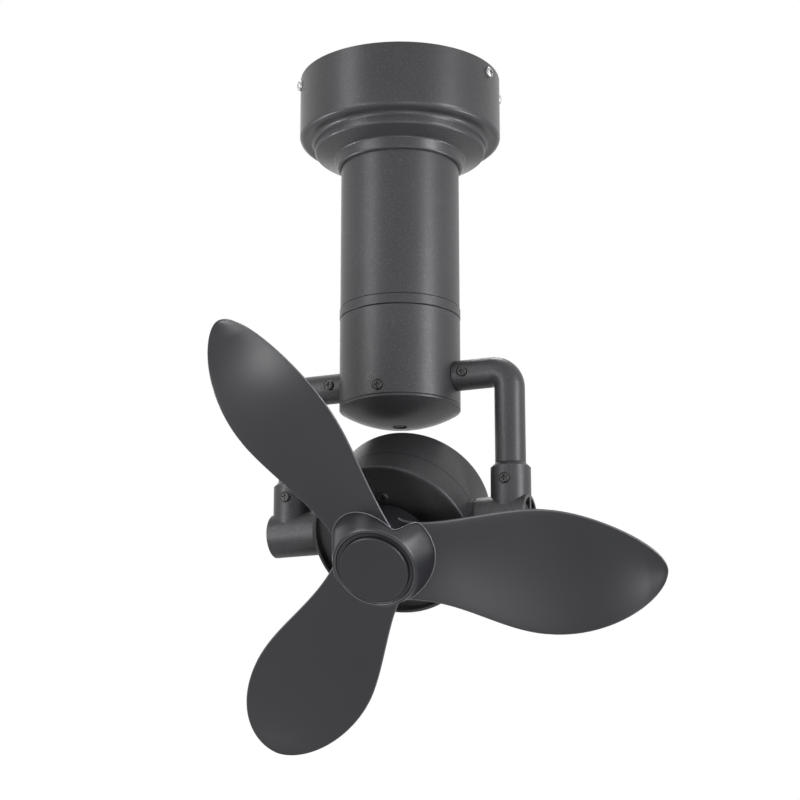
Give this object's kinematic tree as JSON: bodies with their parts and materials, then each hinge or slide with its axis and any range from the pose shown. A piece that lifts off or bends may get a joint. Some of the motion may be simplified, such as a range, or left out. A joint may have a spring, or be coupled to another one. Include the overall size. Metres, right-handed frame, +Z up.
{
  "type": "orbital ceiling fan",
  "caption": "Round stepped canopy and tube, a swivel housing that orbits below them on two bent arms, and a tilting drum motor with a three-blade propeller.",
  "frame": {"origin": "centre of the ceiling plane, on the top face of the ceiling bracket and on the orbit axis", "axes": "+Z up into the ceiling along the orbit axis, +X along the line of the bracket's two slots, +Y across it; the fan head faces -Y, turned 11.4 degrees about Z, in the rest pose"},
  "size_m": [0.3195, 0.2371, 0.5005],
  "materials": {
    "powder_coat": "satin textured",
    "blade_plastic": "satin",
    "dark_screw": "satin",
    "bright_steel": "bright",
    "zinc_steel": "satin",
    "cast_aluminium": "satin",
    "brass": "satin",
    "copper": "satin",
    "white_plastic": "matt",
    "black_plastic": "matt"
  },
  "bodies": {
    "mount": {"ceiling_bracket": "zinc_steel", "bracket_screws": "brass", "terminal_block": "white_plastic", "receiver_box": "black_plastic", "canopy": "powder_coat", "canopy_screws": "bright_steel", "tube_flange": "zinc_steel", "flange_screws": "dark_screw", "upper_tube": "powder_coat", "drive_plate": "zinc_steel", "drive_screws": "dark_screw", "orbit_gearbox": "zinc_steel", "orbit_motor": "zinc_steel", "bearing_housing": "cast_aluminium", "upper_bearing": "bright_steel", "lower_bearing": "bright_steel", "bearing_circlip": "dark_screw", "trim_ring": "powder_coat", "ring_screws": "dark_screw", "slip_ring": "black_plastic"},
    "pinion": {"orbit_pinion": "zinc_steel"},
    "yoke": {"orbit_gear": "zinc_steel", "spindle": "zinc_steel", "spindle_nut": "bright_steel", "swivel_housing": "powder_coat", "spindle_bolts": "dark_screw", "run_capacitor": "black_plastic", "arm_crossbar": "zinc_steel", "cap_bridge": "zinc_steel", "bottom_cap": "powder_coat", "cap_screw": "dark_screw", "housing_screws": "dark_screw", "arm_left": "powder_coat", "arm_right": "powder_coat", "arm_screws": "dark_screw", "tee_left": "powder_coat", "tee_right": "powder_coat", "tee_screws": "dark_screw", "pivot_bush_left": "brass", "pivot_bush_right": "brass"},
    "fan_head": {"rear_shell": "powder_coat", "front_shell": "powder_coat", "front_bell": "cast_aluminium", "face_screws": "dark_screw", "through_bolts": "dark_screw", "pivot_stub_left": "zinc_steel", "pivot_stub_right": "zinc_steel", "friction_washers": "black_plastic", "pivot_bolts": "dark_screw", "stator_core": "zinc_steel", "stator_windings": "copper", "rear_bearing": "bright_steel", "front_bearing": "bright_steel"},
    "propeller": {"motor_shaft": "bright_steel", "rotor": "zinc_steel", "propeller": "blade_plastic", "hub_insert": "brass", "propeller_nut": "bright_steel", "hub_cap": "blade_plastic"}
  },
  "joints": [
    {"name": "orbit", "type": "hinge", "parent": "mount", "child": "yoke", "pos_m": [0, 0, -0.2], "axis": [0, 0, 1], "continuous": true},
    {"name": "pinion_spin", "type": "hinge", "parent": "mount", "child": "pinion", "pos_m": [-0.02537, -0.00923, -0.146], "axis": [0, 0, 1], "continuous": true},
    {"name": "tilt", "type": "hinge", "parent": "yoke", "child": "fan_head", "pos_m": [0, 0, -0.3472], "axis": [0.9803, -0.1977, 0], "range_deg": [-29, 51]},
    {"name": "propeller_spin", "type": "hinge", "parent": "fan_head", "child": "propeller", "pos_m": [0, 0, -0.3472], "axis": [-0.1536, -0.7618, -0.6293], "continuous": true}
  ],
  "couplings": [
    {"joint": "pinion_spin", "follows": "orbit", "ratio": -2}
  ]
}
